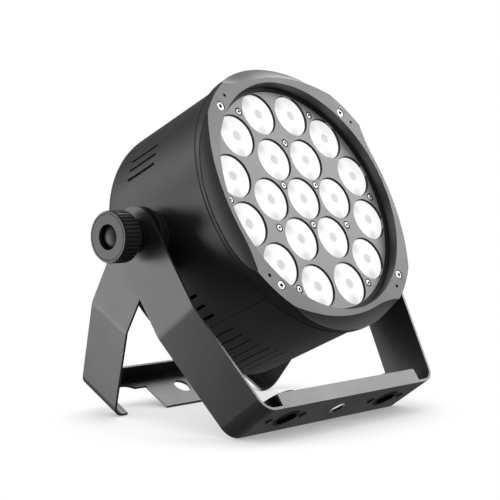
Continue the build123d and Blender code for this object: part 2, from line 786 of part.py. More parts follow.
def data_socket(spot, pins):
    """A round three-pole signal connector on a flat flange."""
    pin_spots = data_pin_spots(spot)
    with BuildPart() as socket:
        with BuildSketch(behind.offset(panel_outer)):
            with Locations(spot):
                RectangleRounded(26, 31, 2.5)
        extrude(amount=data_flange)
        with BuildSketch(behind.offset(-panel_front - data_depth)):
            with Locations(spot):
                Circle(data_hole - 0.2)
        extrude(amount=panel_thick + data_depth)
        with BuildSketch(behind.offset(panel_outer + data_flange)):
            with Locations(spot):
                Circle(11.0)
        extrude(amount=data_lip)
        if pins:
            with BuildSketch(behind.offset(-panel_front - data_depth + data_floor)):
                with Locations(spot):
                    Circle(data_bore)
            extrude(amount=past_the_back, mode=Mode.SUBTRACT)
            with BuildSketch(behind.offset(-panel_front - data_depth)):
                with Locations(*pin_spots):
                    Circle(data_pin_radius)
            extrude(amount=data_floor, mode=Mode.SUBTRACT)
        else:
            with BuildSketch(behind.offset(-panel_front - plug_depth)):
                with Locations(spot):
                    Circle(data_insert + 1.6)
                    Circle(data_insert, mode=Mode.SUBTRACT)
            extrude(amount=past_the_back, mode=Mode.SUBTRACT)
            with BuildSketch(behind.offset(-panel_front - plug_depth)):
                with Locations(*pin_spots):
                    Circle(data_pin_radius + 0.15)
            extrude(amount=past_the_back, mode=Mode.SUBTRACT)
            with BuildSketch(behind.offset(-panel_front - plug_depth)):
                with Locations((spot[0], spot[1] + latch_rise)):
                    Rectangle(6.4, 4.4)
            extrude(amount=past_the_back, mode=Mode.SUBTRACT)
        across, along = data_screw_offset
        with BuildSketch(behind.offset(panel_outer - through)):
            with Locations((spot[0] - across, spot[1] - along), (spot[0] + across, spot[1] + along)):
                Circle(screw_hole)
        extrude(amount=data_flange + data_lip + 2 * through, mode=Mode.SUBTRACT)
    return socket


keep(data_socket(data_spots["data_input"], True), "data_input")
with BuildPart() as data_pins:
    with BuildSketch(behind.offset(-panel_front - data_depth - 2)):
        with Locations(*data_pin_spots(data_spots["data_input"])):
            Circle(data_pin_radius)
    extrude(amount=17)
keep(data_pins, "data_pins")
keep(data_socket(data_spots["data_output"], False), "data_output")
flange_screw = dict(head_radius=2.7, head_height=1.0, shank_radius=1.55, length=6.0)
keep(screws(flange_screw_spots, behind, panel_outer + data_flange + 1.0, **flange_screw), "socket_screws")

latch_inward = 5.0
latch_proud = 2.6
with BuildPart() as latch_tab:
    with BuildSketch(behind.offset(-panel_front - latch_inward)):
        with Locations(latch_spot):
            RectangleRounded(5.6, 3.6, 0.6)
    extrude(amount=panel_thick + latch_inward + data_flange + latch_proud)
keep(latch_tab, "latch_tab")


mains_flange = 2.4
mains_lip = 1.0
mains_depth = 16.0          # behind the panel's inside
mains_floor = 3.0
mains_slot_depth = 12.0
mains_screw_offset = 20.0
blade = (2, 4)


def mains_blade_spots(spot):
    u, v = spot
    return [(u - 7, v - 2), (u + 7, v - 2), (u, v + 2)]


def mains_socket(spot, inlet):
    """A three-pole mains connector, 28 by 21 mm through the panel, on a screwed flange."""
    u, v = spot
    with BuildPart() as socket:
        with BuildSketch(behind.offset(panel_outer)):
            with Locations(spot):
                RectangleRounded(49, 25, 4)
        extrude(amount=mains_flange)
        with BuildSketch(behind.offset(-panel_front - mains_depth)):
            with Locations(spot):
                RectangleRounded(28, 21, 2)
        extrude(amount=panel_thick + mains_depth + mains_flange + mains_lip)
        if inlet:
            with BuildSketch(behind.offset(-panel_front - mains_depth + mains_floor)):
                with Locations(spot):
                    RectangleRounded(24.2, 16.6, 3)
            extrude(amount=past_the_back, mode=Mode.SUBTRACT)
            with BuildSketch(behind.offset(-panel_front - mains_depth)):
                with Locations(*mains_blade_spots(spot)):
                    Rectangle(*blade)
            extrude(amount=mains_floor, mode=Mode.SUBTRACT)
        else:
            with BuildSketch(behind.offset(-panel_front - mains_slot_depth)):
                with Locations(*mains_blade_spots(spot)):
                    Rectangle(blade[0] + 0.2, blade[1] + 0.6)
            extrude(amount=past_the_back, mode=Mode.SUBTRACT)
        with BuildSketch(behind.offset(panel_outer - through)):
            with Locations((u - mains_screw_offset, v), (u + mains_screw_offset, v)):
                Circle(screw_hole)
        extrude(amount=mains_flange + 2 * through, mode=Mode.SUBTRACT)
    return socket


keep(mains_socket(mains_spots["mains_inlet"], True), "mains_inlet")
with BuildPart() as mains_blades:
    with BuildSketch(behind.offset(-panel_front - mains_depth - 3)):
        with Locations(*mains_blade_spots(mains_spots["mains_inlet"])):
            Rectangle(*blade)
    extrude(amount=mains_depth + 3)
keep(mains_blades, "mains_blades")
keep(mains_socket(mains_spots["mains_outlet"], False), "mains_outlet")

fuse_bore = 5.0
fuse_depth = 18.0
fuse_rim = 1.5
cap_lift = 1.7
cap_radius = 7.4
cap_height = 5.0
with BuildPart() as fuse_holder:
    with BuildSketch(behind.offset(panel_outer)):
        with Locations(fuse_spot):
            Circle(8.5)
            Circle(fuse_bore, mode=Mode.SUBTRACT)
    extrude(amount=fuse_rim)
    with BuildSketch(behind.offset(-panel_front - fuse_depth)):
        with Locations(fuse_spot):
            Circle(fuse_hole - 0.2)
            Circle(fuse_bore, mode=Mode.SUBTRACT)
    extrude(amount=fuse_depth + panel_thick)
keep(fuse_holder, "fuse_holder")
with BuildPart() as fuse_cap:
    with BuildSketch(behind.offset(-panel_front - fuse_depth + 2)):
        with Locations(fuse_spot):
            Circle(fuse_bore - running_gap)
    extrude(amount=fuse_depth - 2 + panel_thick + cap_lift)
    with BuildSketch(behind.offset(panel_outer + cap_lift)):
        with Locations(fuse_spot):
            Circle(cap_radius)
            with PolarLocations(cap_radius + 0.2, 12):
                Circle(0.8, mode=Mode.SUBTRACT)
    extrude(amount=cap_height)
    with BuildSketch(behind.offset(panel_outer + cap_lift + cap_height - 1.0)):
        with Locations(fuse_spot):
            Rectangle(9, 1.6)
    extrude(amount=2, mode=Mode.SUBTRACT)
keep(fuse_cap, "fuse_cap")

eye_bow = 9.0               # radius of the loop's end
eye_reach = 20.0
nut_height = 4.0
with BuildPart() as safety_eye:
    eye_plane = Plane(origin=on_head(0, eye_spots[0][1]), x_dir=(1, 0, 0), z_dir=head.y_dir)
    with BuildLine(eye_plane) as eye_path:
        # y of this plane runs backwards from the tilt axis
        start = -panel_front - 2
        bow = panel_outer + eye_reach - eye_bow
        Line((-eye_bow, start), (-eye_bow, bow))
        ThreePointArc((-eye_bow, bow), (0, bow + eye_bow), (eye_bow, bow))
        Line((eye_bow, bow), (eye_bow, start))
    with BuildSketch(Plane(origin=eye_path.line @ 0, z_dir=eye_path.line % 0)):
        Circle(eye_wire_radius)
    sweep()
keep(safety_eye, "safety_eye")
with BuildPart() as eye_nuts:
    with BuildSketch(behind.offset(-panel_front - nut_height)):
        with Locations(*eye_spots):
            RegularPolygon(4.6, 6)
            Circle(eye_wire_radius, mode=Mode.SUBTRACT)
    extrude(amount=nut_height)
keep(eye_nuts, "eye_nuts")

# ================================================================== pivots and knobs
insert_flange = 3.0
journal_slack = 0.02
journal_end = front_half_width - 0.3
strap_gap = front_half_width - sheet - rear_half_width
washer_inner_face = front_half_width + 0.1      # of the washer under each knob
washer_thick = 1.5
knob_back = knob_face - knob_length
hub_radius = 9.5
spacer_radius = 16.5
washer_radius = 11.0
washer_slack = 0.1
rib_radius = 0.85
rim_height = 1.2            # plain ring beyond the ribs
face_groove = (14.9, 14.5)
socket_radius = 8.2
socket_depth = 7.5
bolt_head_radius = 6.6
bolt_head_height = 4.0
stud_inward = 10.0
for name, sign in (("right", 1), ("left", -1)):
    outwards = Plane(origin=(0, 0, 0), x_dir=(0, 1, 0), z_dir=(sign, 0, 0))
    with BuildPart() as pivot_insert:
        with BuildSketch(outwards.offset(shell_radius - collar_root)):
            Circle(pivot_radius - journal_slack)
            Circle(stud_radius + running_gap, mode=Mode.SUBTRACT)
        extrude(amount=journal_end - shell_radius + collar_root)
        with BuildSketch(outwards.offset(shell_radius - collar_root - insert_flange)):
            RegularPolygon(collar_radius, 6)
            Circle(stud_radius + running_gap, mode=Mode.SUBTRACT)
        extrude(amount=insert_flange)
    keep(pivot_insert, f"pivot_insert_{name}")
    with BuildPart() as friction_washer:
        with BuildSketch(outwards.offset(boss_end)):
            Circle(boss_radius - 0.5)
            Circle(pivot_radius + washer_slack, mode=Mode.SUBTRACT)
        extrude(amount=rear_half_width - sheet - washer_slack - boss_end)
    keep(friction_washer, f"friction_washer_{name}")
    with BuildPart() as strap_spacer:
        with BuildSketch(outwards.offset(rear_half_width)):
            Circle(spacer_radius)
            Circle(pivot_radius + running_gap, mode=Mode.SUBTRACT)
        extrude(amount=strap_gap - washer_slack)
    keep(strap_spacer, f"strap_spacer_{name}")
    with BuildPart() as knob_washer:
        with BuildSketch(outwards.offset(washer_inner_face)):
            Circle(washer_radius)
            Circle(stud_radius + running_gap, mode=Mode.SUBTRACT)
        extrude(amount=washer_thick)
    keep(knob_washer, f"knob_washer_{name}")
    washer_face = washer_inner_face + washer_thick
    with BuildPart() as knob:
        with BuildSketch(outwards.offset(washer_face)):
            Circle(hub_radius)
        extrude(amount=knob_back - washer_face)
        with BuildSketch(outwards.offset(knob_back)):
            Circle(knob_radius)
            with PolarLocations(knob_radius + 0.25, knob_ribs):
                Circle(rib_radius, mode=Mode.SUBTRACT)
        extrude(amount=knob_length - rim_height)
        with BuildSketch(outwards.offset(knob_face - rim_height)):
            Circle(knob_radius - 0.7)
        extrude(amount=rim_height)
        with BuildSketch(outwards.offset(knob_face - rim_height / 2)):
            Circle(face_groove[0])
            Circle(face_groove[1], mode=Mode.SUBTRACT)
        extrude(amount=rim_height, mode=Mode.SUBTRACT)
        with BuildSketch(outwards.offset(knob_face - socket_depth)):
            Circle(socket_radius)
        extrude(amount=socket_depth + through, mode=Mode.SUBTRACT)
        with BuildSketch(outwards.offset(washer_face - through)):
            Circle(stud_radius)
        extrude(amount=knob_face - washer_face, mode=Mode.SUBTRACT)
    keep(knob, f"knob_{name}")
    with BuildPart() as stud:
        with BuildSketch(outwards.offset(shell_radius - stud_inward)):
            Circle(stud_radius)
        extrude(amount=knob_face - socket_depth - shell_radius + stud_inward)
        with BuildSketch(outwards.offset(knob_face - socket_depth)):
            Circle(bolt_head_radius)
        extrude(amount=bolt_head_height)
        crown = stud.faces().sort_by(Axis((0, 0, 0), (sign, 0, 0)))[-1]
        fillet(crown.edges(), 2.6)
    keep(stud, f"knob_stud_{name}")

# ------------------------------------------------------------- write the pieces
boxes = [piece.bounding_box() for piece in pieces.values()]
back = max(box.max.Y for box in boxes)
front = min(box.min.Y for box in boxes)
floor = min(box.min.Z for box in boxes)
origin = Vector(0, (front + back) / 2, floor)
os.makedirs("parts", exist_ok=True)
for name, piece in pieces.items():
    placed = piece.moved(Location(-origin))
    placed.label = name
    export_step(placed, f"parts/{name}.step")
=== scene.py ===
import json
from math import atan2, cos, pi, radians, sin

import bmesh
import bpy
from mathutils import Euler, Matrix, Vector


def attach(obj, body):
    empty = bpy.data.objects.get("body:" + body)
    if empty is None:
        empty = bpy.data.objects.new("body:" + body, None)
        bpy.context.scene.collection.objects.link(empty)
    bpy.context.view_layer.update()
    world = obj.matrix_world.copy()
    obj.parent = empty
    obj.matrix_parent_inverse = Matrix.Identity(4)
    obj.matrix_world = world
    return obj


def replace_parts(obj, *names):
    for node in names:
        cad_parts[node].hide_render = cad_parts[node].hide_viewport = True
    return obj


# A stage wash light on two nested brackets.  Metres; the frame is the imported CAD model.
# "Head coordinates" are across, up and ahead of the tilt axis, on the tilted head.

MM = 0.001

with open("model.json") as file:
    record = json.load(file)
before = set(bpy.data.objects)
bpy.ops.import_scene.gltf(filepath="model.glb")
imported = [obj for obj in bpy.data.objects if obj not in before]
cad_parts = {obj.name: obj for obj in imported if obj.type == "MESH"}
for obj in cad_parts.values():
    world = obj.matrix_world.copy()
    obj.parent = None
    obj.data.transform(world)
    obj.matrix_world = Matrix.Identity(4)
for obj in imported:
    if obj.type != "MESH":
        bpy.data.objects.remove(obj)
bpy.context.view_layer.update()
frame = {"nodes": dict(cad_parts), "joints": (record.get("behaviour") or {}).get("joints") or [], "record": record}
nodes = frame["nodes"]
joints = {joint["name"]: joint for joint in frame["joints"]}
pivot = Vector(joints["head_tilt"]["pos_m"])
ahead = Vector(joints["fan_spin"]["axis"]).normalized()
across = Vector((1, 0, 0))
upwards = ahead.cross(across)
head_matrix = Matrix.Translation(pivot) @ Matrix((across, upwards, ahead)).transposed().to_4x4()
to_head = head_matrix.inverted()


# ------------------------------------------------------------------ shader nodes
def new_node(tree, kind, **sockets):
    """A shader node with some of its inputs set. An underscore stands for a space."""
    made = tree.nodes.new(kind)
    for socket, value in sockets.items():
        made.inputs[socket.replace("_", " ")].default_value = value
    return made


def two_stop_ramp(tree, source, low_stop, low_colour, high_stop, high_colour):
    """A colour that runs from one to another between two values of a source."""
    ramp = tree.nodes.new("ShaderNodeValToRGB")
    low_end, high_end = ramp.color_ramp.elements
    low_end.position = low_stop
    low_end.color = (*low_colour, 1)
    high_end.position = high_stop
    high_end.color = (*high_colour, 1)
    tree.links.new(source, ramp.inputs["Fac"])
    return ramp.outputs["Color"]


def product(tree, *factors):
    """The product of some shader sockets, by Math nodes."""
    result = factors[0]
    for factor in factors[1:]:
        times = tree.nodes.new("ShaderNodeMath")
        times.operation = "MULTIPLY"
        tree.links.new(result, times.inputs[0])
        tree.links.new(factor, times.inputs[1])
        result = times.outputs["Value"]
    return result


def shader_of(material):
    return material.node_tree.nodes["Principled BSDF"]


def new_material(name, colour, metallic=0.0, roughness=0.5, specular=0.5, coat=0.0):
    material = bpy.data.materials.new(name)
    material.use_nodes = True
    shader = shader_of(material)
    shader.inputs["Base Color"].default_value = (*colour, 1)
    shader.inputs["Metallic"].default_value = metallic
    shader.inputs["Roughness"].default_value = roughness
    shader.inputs["Specular IOR Level"].default_value = specular
    shader.inputs["Coat Weight"].default_value = coat
    shader.inputs["Coat Roughness"].default_value = 0.1
    return material


def noise(material, size, detail=2.0):
    """Noise over the object, with cells of a size in metres."""
    tree = material.node_tree
    place = tree.nodes.new("ShaderNodeTexCoord")
    texture = new_node(tree, "ShaderNodeTexNoise", Scale=1 / size, Detail=detail)
    tree.links.new(place.outputs["Object"], texture.inputs["Vector"])
    return texture.outputs["Fac"]


noise_low, noise_high = 0.3, 0.7        # the part of a noise's range that is spread out


def vary_roughness(material, source, low, high):
    tree = material.node_tree
    spread = new_node(tree, "ShaderNodeMapRange", From_Min=noise_low, From_Max=noise_high,
                      To_Min=low, To_Max=high)
    tree.links.new(source, spread.inputs["Value"])
    tree.links.new(spread.outputs["Result"], shader_of(material).inputs["Roughness"])


def vary_colour(material, source, dark, light):
    tree = material.node_tree
    colour = two_stop_ramp(tree, source, noise_low, dark, noise_high, light)
    tree.links.new(colour, shader_of(material).inputs["Base Color"])


def add_bump(material, source, depth):
    tree = material.node_tree
    bump = new_node(tree, "ShaderNodeBump", Strength=1.0, Distance=depth)
    tree.links.new(source, bump.inputs["Height"])
    tree.links.new(bump.outputs["Normal"], shader_of(material).inputs["Normal"])


# ------------------------------------------------------------------ kinds of finish
def powder_coat(name, shade, roughness, grain=0.45 * MM, depth=0.012 * MM):
    """Baked paint: a fine orange peel, and slow changes of gloss and colour."""
    patch_size = 40 * MM
    blueness = 1.04
    material = new_material(name, (shade, shade, shade * blueness), roughness=roughness)
    fine = noise(material, grain)
    slow = noise(material, patch_size)
    add_bump(material, fine, depth)
    vary_roughness(material, slow, roughness - 0.03, roughness + 0.04)
    vary_colour(material, slow, [shade * 0.92] * 3, [shade * 1.08, shade * 1.08, shade * 1.12])
    return material


def moulded(name, shade, roughness, specular=0.5):
    """Moulded plastic or cast zinc with a fine spark-eroded texture."""
    grain, depth = 0.25 * MM, 0.006 * MM
    material = new_material(name, (shade, shade, shade), roughness=roughness, specular=specular)
    fine = noise(material, grain, detail=3.0)
    add_bump(material, fine, depth)
    vary_roughness(material, fine, roughness - 0.05, roughness + 0.05)
    return material


def metal(name, shade, roughness):
    """Plain or plated metal with a fine grain."""
    grain, depth = 0.2 * MM, 0.002 * MM
    material = new_material(name, (shade, shade, shade * 1.01), metallic=1.0, roughness=roughness)
    fine = noise(material, grain, detail=3.0)
    add_bump(material, fine, depth)
    vary_roughness(material, fine, roughness - 0.06, roughness + 0.06)
    return material


def glossy(name, colour, roughness, coat=0.0):
    """A smooth surface whose gloss and colour change a little from place to place."""
    patch_size = 3 * MM
    material = new_material(name, colour, roughness=roughness, coat=coat)
    slow = noise(material, patch_size)
    vary_roughness(material, slow, roughness * 0.8, roughness * 1.3)
    vary_colour(material, slow, [0.95 * c for c in colour], [1.05 * c for c in colour])
    return material


def soft_patch(tree, place, middle, inner, outer, level):
    """A factor that is level near a point of the lens, and 1 beyond the outer distance."""
    away = tree.nodes.new("ShaderNodeVectorMath")
    away.operation = "DISTANCE"
    away.inputs[1].default_value = (middle[0], middle[1], 0)
    tree.links.new(place, away.inputs[0])
    fade = new_node(tree, "ShaderNodeMapRange", From_Min=inner, From_Max=outer, To_Min=level, To_Max=1.0)
    fade.interpolation_type = "SMOOTHSTEP"
    tree.links.new(away.outputs["Value"], fade.inputs["Value"])
    return fade.outputs["Result"]


def painted_lens_glow():
    """A lens whose white look is painted as glow: a greyer spot over the emitter, and soft patches of painted
    shade near the rim and over the far side.
    """
    material = new_material("painted_lens_glow", (0.08, 0.08, 0.085), roughness=0.35, specular=0.15)
    tree = material.node_tree
    coordinates = tree.nodes.new("ShaderNodeTexCoord")
    flat = new_node(tree, "ShaderNodeMapping", Scale=(1, 1, 0))
    tree.links.new(coordinates.outputs["Object"], flat.inputs["Vector"])
    place = flat.outputs["Vector"]
    spot = soft_patch(tree, place, (0, 0), 2.7 * MM, 4.3 * MM, 0.62)
    # painted shade: soft grey patches at the left and low rim, and a broad one over the far side
    left = soft_patch(tree, place, (-10.0 * MM, 8.6 * MM), 0.5 * MM, 7.0 * MM, 0.76)
    low = soft_patch(tree, place, (-0.8 * MM, -12.6 * MM), 0.5 * MM, 7.5 * MM, 0.71)
    far_side = soft_patch(tree, place, (-6.0 * MM, 15.0 * MM), 2.0 * MM, 24.0 * MM, 0.86)
    tint = tree.nodes.new("ShaderNodeMix")
    tint.data_type = "RGBA"
    tint.inputs["A"].default_value = (0.0, 0.0, 0.0, 1)
    tint.inputs["B"].default_value = (0.99, 0.98, 1.0, 1)
    tree.links.new(product(tree, spot, left, low, far_side), tint.inputs["Factor"])
    tree.links.new(tint.outputs["Result"], shader_of(material).inputs["Emission Color"])
    # the lens's brightness is painted light, given as emission
    shader_of(material).inputs["Emission Strength"].default_value = 0.90
    return material


# ------------------------------------------------------------------ finishes
body_paint = powder_coat("body_paint", 0.025, 0.40)
bracket_paint = powder_coat("bracket_paint", 0.035, 0.34)
bezel_paint = powder_coat("bezel_paint", 0.10, 0.45, depth=0.006 * MM)
plate_paint = powder_coat("plate_paint", 0.28, 0.50, grain=0.3 * MM, depth=0.004 * MM)
knob_plastic = moulded("knob_plastic", 0.03, 0.42)
black_plastic = moulded("black_plastic", 0.012, 0.5)
black_zinc = moulded("black_zinc", 0.006, 0.45, specular=0.12)
bolt_black = moulded("bolt_black", 0.016, 0.5)
# near black for painted shade in holes, recesses, grooves, seams and gaps
painted_shade_black = moulded("painted_shade_black", 0.002, 0.7)
rubber = moulded("rubber", 0.01, 0.8)
board_white = moulded("board_white", 0.8, 0.5)
board_green = moulded("board_green", 0.05, 0.45)
dark_steel = metal("dark_steel", 0.07, 0.35)
bright_steel = metal("bright_steel", 0.50, 0.35)
bare_aluminium = metal("bare_aluminium", 0.7, 0.35)
emitter = glossy("emitter", (0.9, 0.7, 0.15), 0.2)
display_glass = glossy("display_glass", (0.006, 0.008, 0.012), 0.08, coat=1.0)
lens_painted_glow = painted_lens_glow()

finish_of_slot = {
    "bracket_black": bracket_paint, "housing_black": body_paint, "bezel_black": bezel_paint,
    "zinc_black": black_zinc, "bare_aluminium": bare_aluminium, "screw_steel": bright_steel,
    "screw_black": dark_steel, "latch_steel": bright_steel, "eye_steel": dark_steel,
    "stud_black": dark_steel, "socket_nickel": black_zinc, "black_rubber": rubber,
    "plate_grey": plate_paint, "lens_clear": lens_painted_glow, "black_plastic": black_plastic,
    "knob_black": knob_plastic, "fibre_black": black_plastic, "board_white": board_white,
    "board_green": board_green, "emitter_yellow": emitter, "display_glass": display_glass,
    "button_plastic": black_plastic,
}

# ------------------------------------------------------------------ CAD nodes
edge_angle = radians(35)        # a sharper turn than this is an edge
round_edges = {                 # how wide the rounding of a node's edges is, in mm
    "front_bracket": 0.35, "rear_bracket": 0.35, "housing_left": 0.3, "housing_right": 0.3,
    "housing_top": 0.25, "housing_bottom": 0.25, "front_bezel": 0.3,
    "rear_panel": 0.25, "quick_lock_receptacles": 0.3,
}
painted_over = ["receptacle_rivets"]    # under the bracket's own paint


def weld_and_round(node, width):
    """Joins a CAD node's faces again and rounds its sharp edges a little."""
    weld = node.modifiers.new("weld", "WELD")
    weld.merge_threshold = 0.002 * MM
    bevel = node.modifiers.new("round_edges", "BEVEL")
    bevel.width = width
    bevel.segments = 2
    bevel.limit_method = "ANGLE"
    bevel.angle_limit = edge_angle
    smooth = node.modifiers.new("soft_normals", "WEIGHTED_NORMAL")
    smooth.keep_sharp = True


slot_of_node = {part["node"]: part["material_slot"] for part in frame["record"]["subparts"]}
for name, node in nodes.items():
    node.data.materials.clear()
    finish = bracket_paint if name in painted_over else finish_of_slot[slot_of_node[name]]
    node.data.materials.append(finish)
    if name in round_edges:
        weld_and_round(node, round_edges[name] * MM)


# ------------------------------------------------------------------ places on the head
lens_pitch = 33.4 * MM
outer_ring = 64.9 * MM
lens_radius = 15.0 * MM
lens_rim = 55.1 * MM            # ahead of the tilt axis, as are the next three
plate_front = 56.2 * MM
bezel_face = 64.6 * MM
bezel_back = 54.3 * MM
bezel_radius = 96.0 * MM
shell_radius = 94.0 * MM
screw_circle = 88.5 * MM        # of the bezel's screws
plate_screw_circles = [19.3 * MM, 41.2 * MM, 73.5 * MM]
accessory_circle = 89.8 * MM
accessory_angle = -6.93         # past each bezel screw
lobe_angles = [45, 135, 225, 315]


def polar(radius, degrees_round):
    return (radius * cos(radians(degrees_round)), radius * sin(radians(degrees_round)))


lens_centres = [(0, 0)]
lens_centres += [polar(lens_pitch, 60 * k) for k in range(6)]
lens_centres += [polar(outer_ring, 15 + 30 * k) for k in range(12)]
plate_spots = [polar(plate_screw_circles[0], 30 + 120 * k) for k in range(3)]
plate_spots += [polar(plate_screw_circles[1], 90 + 120 * k) for k in range(3)]
plate_spots += [polar(plate_screw_circles[2], 60 * k) for k in range(6)]
bezel_spots = [polar(screw_circle, angle) for angle in lobe_angles]
accessory_spots = [polar(accessory_circle, angle + accessory_angle) for angle in lobe_angles]


# ------------------------------------------------------------------ painted shade in holes, seats and grooves
def repaint(node, finishes, choose):
    """Gives a CAD node's faces other finishes: choose returns a finish's number, or 0 for none."""
    for finish in finishes:
        node.data.materials.append(finish)
    for face in node.data.polygons:
        face.material_index = choose(face)


def within(spot, middles, reach):
    return any((spot.xy - Vector(middle)).length < reach for middle in middles)


def plate_choice(face):
    """Painted shade: the walls of the lens holes and the screws' seats are made near black."""
    plate_edge, seat_reach, steep = 80 * MM, 3.1 * MM, 0.5
    spot = to_head @ face.center
    in_hole = abs(face.normal.dot(ahead)) < steep and spot.xy.length < plate_edge
    return 1 if in_hole or within(spot, plate_spots, seat_reach) else 0


def bezel_choice(face):
    """Painted shade in the accessory holes and the screws' seats, which are made near black; the outer wall is
    painted as the body.
    """
    hole_reach, seat_reach, rim_depth, sunk_depth = 2.6 * MM, 3.6 * MM, 0.6 * MM, 0.2 * MM
    level, upright = 0.9, 0.3
    spot = to_head @ face.center
    facing = abs(face.normal.dot(ahead))
    sunk = facing < level or spot.z < bezel_face - sunk_depth
    if sunk and (within(spot, accessory_spots, hole_reach) or within(spot, bezel_spots, seat_reach)):
        return 1
    if spot.xy.length > bezel_radius - rim_depth and facing < upright:
        return 2
    return 0


knob_face = 132.0 * MM          # from the middle of the tilt axis
rib_valley = (15.9 * MM, 16.72 * MM)
face_groove = (14.0 * MM, 15.4 * MM)


def knob_choice(face):
    """Painted shade: the valleys between a knob's ribs and the groove in its face are made near black."""
    rib_end, groove_depth, skin, upright = 1.3 * MM, 1.5 * MM, 0.05 * MM, 0.2
    spot = face.center - pivot
    from_axis = spot.yz.length
    below_face = knob_face - abs(spot.x)
    on_ribs = abs(face.normal.x) < upright and below_face > rib_end
    valley = on_ribs and rib_valley[0] < from_axis < rib_valley[1]
    groove = face_groove[0] < from_axis < face_groove[1] and skin < below_face < groove_depth
    return 1 if valley or groove else 0


repaint(nodes["lens_plate"], [painted_shade_black], plate_choice)
repaint(nodes["front_bezel"], [painted_shade_black, body_paint], bezel_choice)
repaint(nodes["knob_left"], [painted_shade_black], knob_choice)
repaint(nodes["knob_right"], [painted_shade_black], knob_choice)


# ------------------------------------------------------------------ detailed pieces
def lathe(form, profile, segments):
    """Adds a turned surface to a bmesh. The profile is (radius, height) pairs."""
    rings = []
    for radius, height in profile:
        turns = [2 * pi * k / segments for k in range(segments)] if radius else [0]
        rings.append([form.verts.new((radius * cos(a), radius * sin(a), height)) for a in turns])
    for near, far in zip(rings, rings[1:]):
        for k in range(segments):
            after = k + 1
            corners = [near[k % len(near)], near[after % len(near)],
                       far[after % len(far)], far[k % len(far)]]
            form.faces.new(list(dict.fromkeys(corners)))


def mesh_of(form, name, finish):
    """A mesh from a bmesh, smooth but for its sharp edges."""
    bmesh.ops.recalc_face_normals(form, faces=form.faces)
    mesh = bpy.data.meshes.new(name)
    form.to_mesh(mesh)
    form.free()
    mesh.materials.append(finish)
    mesh.shade_smooth()
    mesh.set_sharp_from_angle(angle=edge_angle)
    return mesh


def turned_mesh(name, profile, segments, finish):
    form = bmesh.new()
    lathe(form, profile, segments)
    return mesh_of(form, name, finish)


def place_object(name, data):
    made = bpy.data.objects.new(name, data)
    bpy.context.scene.collection.objects.link(made)
    return made


def add_piece(name, mesh, body, matrix=head_matrix):
    piece = place_object(name, mesh)
    piece.matrix_world = matrix
    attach(piece, body)
    return piece


# ---- lenses
def lens_mesh():
    """A shallow dome with a flat middle and a stepped rim, and the cone that gathers the light."""
    edge = lens_radius / MM
    dome = [(0, 0.80), (2.8, 0.79), (3.3, 0.72), (7.0, 0.58), (11.0, 0.30), (13.9, 0.02)]   # mm
    step = [(14.5, -0.10), (edge, -0.55), (edge, -1.9)]
    cone = [(12.0, -7.9), (5.3, -16.5), (0, -16.5)]
    profile = [(radius * MM, lens_rim + height * MM) for radius, height in dome + step + cone]
    return turned_mesh("lens", profile, 64, lens_painted_glow)


lens_form = lens_mesh()
lens_pieces = []
for number, (u, v) in enumerate(lens_centres, 1):
    lens_place = head_matrix @ Matrix.Translation((u, v, 0))
    lens_pieces.append(add_piece(f"lens_{number:02d}", lens_form, "head", lens_place))
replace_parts(lens_pieces[0], "lenses")


# ---- cross-recess screws
def cross_cutter(reach, width, depth):
    """A tapered plus sign, which cuts a screw's recess and gives the recess walls painted shade."""
    taper = 0.62
    half = width / 2
    corner = [(half, half), (half, reach), (-half, reach)]
    outline = []
    for turn in range(4):
        swing = Matrix.Rotation(pi / 2 * turn, 2)
        outline += [swing @ Vector(point) for point in corner]
    form = bmesh.new()
    top = [form.verts.new((*point, 0.5 * depth)) for point in outline]
    bottom = [form.verts.new((*(taper * point), -depth)) for point in outline]
    form.faces.new(top)
    form.faces.new(bottom[::-1])
    for k in range(len(top)):
        after = (k + 1) % len(top)
        form.faces.new((top[k], top[after], bottom[after], bottom[k]))
    return mesh_of(form, "cross_cutter", painted_shade_black)


def screw_head(name, radius, height, crown):
    """A domed cross-recess head, its rim at height 0."""
    profile = [(0, crown), (radius * 0.5, crown * 0.82), (radius * 0.85, crown * 0.3),
               (radius * 0.97, 0), (radius, -0.12 * MM), (radius, -height), (0, -height)]
    blank = place_object(name, turned_mesh(name, profile, 40, bright_steel))
    cutter = place_object("cutter", cross_cutter(radius * 0.66, radius * 0.50, 1.1 * MM))
    cutter.location = (0, 0, crown)
    cut = blank.modifiers.new("recess", "BOOLEAN")
    cut.object = cutter
    cut.operation = "DIFFERENCE"
    cut.solver = "EXACT"
    # the recess walls take the cutter's near black: painted shade
    cut.material_mode = "TRANSFER"
    bpy.context.view_layer.update()
    shape = blank.evaluated_get(bpy.context.evaluated_depsgraph_get())
    finished = bpy.data.meshes.new_from_object(shape)
    for made in (blank, cutter):
        bpy.data.objects.remove(made)
    return finished


def screw_group(name, head_mesh, spots, height, node, first_turn):
    """One piece with a screw head at each spot, instead of a CAD node's. Turns are in degrees."""
    next_turn = 37
    form = bmesh.new()
    for k, (u, v) in enumerate(spots):
        spin = Matrix.Rotation(radians(first_turn + next_turn * k), 4, "Z")
        copy = head_mesh.copy()
        copy.transform(Matrix.Translation((u, v, height)) @ spin)
        form.from_mesh(copy)
        bpy.data.meshes.remove(copy)
    mesh = bpy.data.meshes.new(name)
    form.to_mesh(mesh)
    form.free()
    for finish in head_mesh.materials:
        mesh.materials.append(finish)
    piece = add_piece(name, mesh, "head")
    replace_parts(piece, node)


bezel_screw_sunk = 0.35 * MM
bezel_screw = screw_head("bezel_screw", 2.9 * MM, 1.3 * MM, 0.25 * MM)
plate_screw = screw_head("plate_screw", 2.1 * MM, 0.4 * MM, 0.25 * MM)
bezel_screw_rim = bezel_face - bezel_screw_sunk
screw_group("bezel_screw_heads", bezel_screw, bezel_spots, bezel_screw_rim, "bezel_screws", 12)
screw_group("plate_screw_heads", plate_screw, plate_spots, plate_front, "plate_screws", 40)


